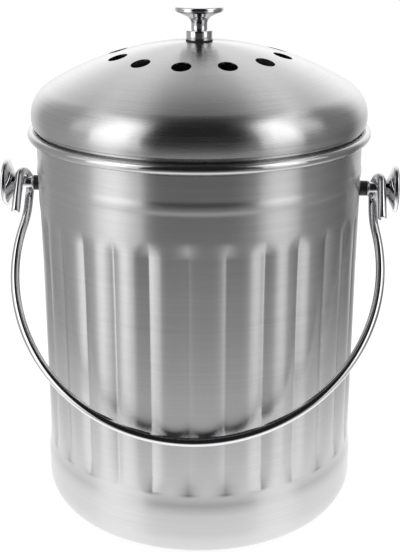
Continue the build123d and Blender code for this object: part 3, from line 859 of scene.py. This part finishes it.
def spool(foot_r, foot_h, neck_r, neck_top, length):
    """A turned post on height 0: its tapped hole, foot, waist, flared cap and crown."""
    edge_z = length - CAP_CROWN
    # The last point only aims the cap's rounding at the crown, so it is dropped.
    side = rounded([(TAP_R, 0), (foot_r, 0, TURNED_EDGE), (foot_r, foot_h, 0.5),
                    (neck_r, foot_h, TURNED_EDGE), (neck_r, neck_top, FLARE_ROUND),
                    (CAP_R, edge_z - CAP_EDGE, CAP_ROUND), (CAP_R, edge_z, CAP_ROUND),
                    (CAP_R - 2.0, edge_z + 0.27)], steps=8)[:-1]
    crown = [point for point in crown_line(CAP_R, edge_z, length, 24) if point[0] < CAP_R - 1.3]
    return [(0, TAP_DEPTH), (TAP_R, TAP_DEPTH)] + side + crown


# %% The lid's knob
KNOB_Z = 261.1

knob = turned("turned_lid_knob", spool(foot_r=7.0, foot_h=5.0, neck_r=4.3, neck_top=10.9, length=18.0),
              chrome, columns=128)
put(knob, "lid", "knob_chrome", "lid_knob", where=Matrix.Translation((0, 0, KNOB_Z * MM)))

# %% The posts, each on its black sleeve
POST_X = 91.02
POST_Z = 182.2
SLEEVE_R = 4.1
SLEEVE_LEN = 4.0
MOULDED_EDGE = 0.2

post_points = spool(foot_r=4.5, foot_h=1.0, neck_r=3.4, neck_top=9.8, length=17.2)
sleeve_points = rounded([(HOLE_R, -SLEEVE_LEN), (SLEEVE_R, -SLEEVE_LEN, MOULDED_EDGE),
                         (SLEEVE_R, 0, MOULDED_EDGE), (HOLE_R, 0), (HOLE_R, -SLEEVE_LEN)])
for side, name in ((-1, "left"), (1, "right")):
    lay = Matrix.Translation((side * POST_X * MM, 0, POST_Z * MM)) @ Matrix.Rotation(side * pi / 2, 4, "Y")
    post = turned("turned_" + name + "_post", post_points, chrome, columns=128)
    put(post, "pail", "knob_chrome", name + "_post_knob", where=lay)
    sleeve = turned("black_" + name + "_sleeve", sleeve_points, black_plastic, columns=64)
    put(sleeve, "pail", "spacer_plastic", name + "_post_spacer", where=lay)

# %% The rubber ring under the knob
GASKET_R = 7.1

gasket_points = rounded([(HOLE_R, LID_TOP_Z), (GASKET_R, LID_TOP_Z, MOULDED_EDGE),
                         (GASKET_R, KNOB_Z, MOULDED_EDGE), (HOLE_R, KNOB_Z), (HOLE_R, LID_TOP_Z)])
gasket = turned("knob_seal_ring", gasket_points, rubber, columns=96)
put(gasket, "lid", "gasket_rubber", "knob_gasket")

# %% [markdown]
# ## The bail
#
# A round wire, 4.8 mm thick and chrome plated, bent round jigs: a wide bow, two easy bends into
# straight legs, a hook over each post and a short tail that hangs free. A curve object with a
# bevel could be that wire, but Geometry Nodes' Curve to Mesh also takes a thickness for each
# point, and the tails' ends are rounded by thinning the wire there. Only half of the path is
# worked out, hanging straight down. The other half is its mirror image.

# %% The wire's path
WIRE_R = 2.4
HOOK_R = 6.15
HOOK_SHIFT = 3.7        # the tail hangs this far out beside the leg
LEG_X = 94.67
TAIL_LEN = 21.0
TAIL_ROUND = 0.8
BOW_R = 98.2
BOW_DROP = 43.5
LEG_BEND_R = 60.0

straight = BOW_DROP - sqrt((BOW_R + LEG_BEND_R) ** 2 - (LEG_X + LEG_BEND_R) ** 2)
bend = degrees(atan2(BOW_DROP - straight, LEG_X + LEG_BEND_R))
hook_x = LEG_X + HOOK_SHIFT / 2
hook_top = sqrt(HOOK_R**2 + (HOOK_SHIFT / 2) ** 2)
ends = [TAIL_ROUND * (1 - cos(radians(turn))) for turn in (0, 25, 50, 70, 90)]
tail = [(hook_x + HOOK_SHIFT / 2, -HOOK_R, z) for z in [-TAIL_LEN + end for end in ends] + [-14, -7]]
hook = [(hook_x - HOOK_SHIFT / 2 * cos(turn), HOOK_R * cos(turn), hook_top * sin(turn))
        for turn in [pi * (1 - step / 20) for step in range(21)]]
leg = [(LEG_X, HOOK_R, z) for z in spread(0, -straight, 3)[1:-1]]
leg += [(x, HOOK_R, z) for x, z in arc((LEG_X + LEG_BEND_R, -straight), LEG_BEND_R, 180, 180 + bend, 16)]
bow = [(x, HOOK_R, z) for x, z in arc((0, -BOW_DROP), BOW_R, bend, -180 - bend, 110)]
half = tail + hook + leg
path = half + bow[1:-1] + [(-x, y, z) for x, y, z in reversed(half)]
thin = [WIRE_R - TAIL_ROUND + sqrt(max(0.0, TAIL_ROUND**2 - (TAIL_ROUND - end) ** 2)) for end in ends]
radii = thin + [WIRE_R] * (len(path) - 2 * len(thin)) + thin[::-1]
print("the wire's path has", len(path), "points")

# %% Wire along the path, leaning on the reeds
LEAN = 41.403           # degrees forward from hanging straight down

wiring, given = new_tree("Bent_wire", Sides="Int", Finish="Material")
line = add(wiring, "GeometryNodeMeshToCurve", {"Mesh": given["Geometry"]})
thickness = add(wiring, "GeometryNodeInputNamedAttribute", {"Name": "wire_radius"}, data_type="FLOAT")
cross = add(wiring, "GeometryNodeCurvePrimitiveCircle", {"Resolution": given["Sides"], "Radius": 1.0})
wire = add(wiring, "GeometryNodeCurveToMesh",
           {"Curve": line.outputs[0], "Profile Curve": cross.outputs[0], "Scale": thickness.outputs[0],
            "Fill Caps": True})
closing(wiring, wire.outputs[0], given["Finish"], sharp=60)

path_mesh = bpy.data.meshes.new("bail_path")
path_mesh.from_pydata([(x * MM, y * MM, z * MM) for x, y, z in path],
                      [(n, n + 1) for n in range(len(path) - 1)], [])
held = path_mesh.attributes.new("wire_radius", "FLOAT", "POINT")
held.data.foreach_set("value", [r * MM for r in radii])
bail = grown("wire_bail", path_mesh, (wiring, {"Sides": 32, "Finish": chrome}))
hang = Matrix.Translation((0, 0, POST_Z * MM)) @ Matrix.Rotation(radians(-LEAN), 4, "X")
put(bail, "bail", "bail_chrome", "bail_wire", where=hang)

# %% [markdown]
# ## The filter
#
# A mat of felt filled with carbon granules, cut as a round disc with a hole for the rod. It is
# soft, so its edges are rounded and its top dishes towards the hole. A cloth simulation could
# sag it, but a mat this firm on a spoked ring hardly sags, so the dish is drawn in its outline.

# %% A felt disc
FELT_R = 56.7
FELT_HOLE_R = 6.0
FELT_T = 9.0
DISH_R = 30             # where the top starts to dip more
felt_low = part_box("charcoal_filter")[0].z / MM

felt_points = rounded([(FELT_HOLE_R, felt_low + 0.2), (DISH_R, felt_low + 0.05),
                       (FELT_R, felt_low + 0.05, 2.0), (FELT_R, felt_low + FELT_T - 0.2, 3.0),
                       (DISH_R, felt_low + FELT_T - 0.9), (FELT_HOLE_R, felt_low + FELT_T - 1.2, 1.5),
                       (FELT_HOLE_R, felt_low + 0.2)])
pad = turned("carbon_felt_disc", felt_points, felt, columns=160)
put(pad, "filter_cartridge", "filter_pad", "charcoal_filter")

# %% [markdown]
# ## Small parts that keep their CAD shape
#
# Screws, washers, seals, nuts, the rod and the retainer are right as they come from CAD, so
# nothing is drawn again. They only get their finishes.

# %% Finishes for the CAD nodes that stay
for name, node in nodes.items():
    if node.hide_render:        # one of the pieces above has replaced it
        continue
    if name in ("filter_retainer", "filter_thumb_nut"):
        finish = retainer_plastic
    elif name.endswith("seal"):
        finish = rubber
    else:
        finish = screw_steel
    for slot in node.material_slots:
        slot.material = finish
    print(name, "is", finish.name)
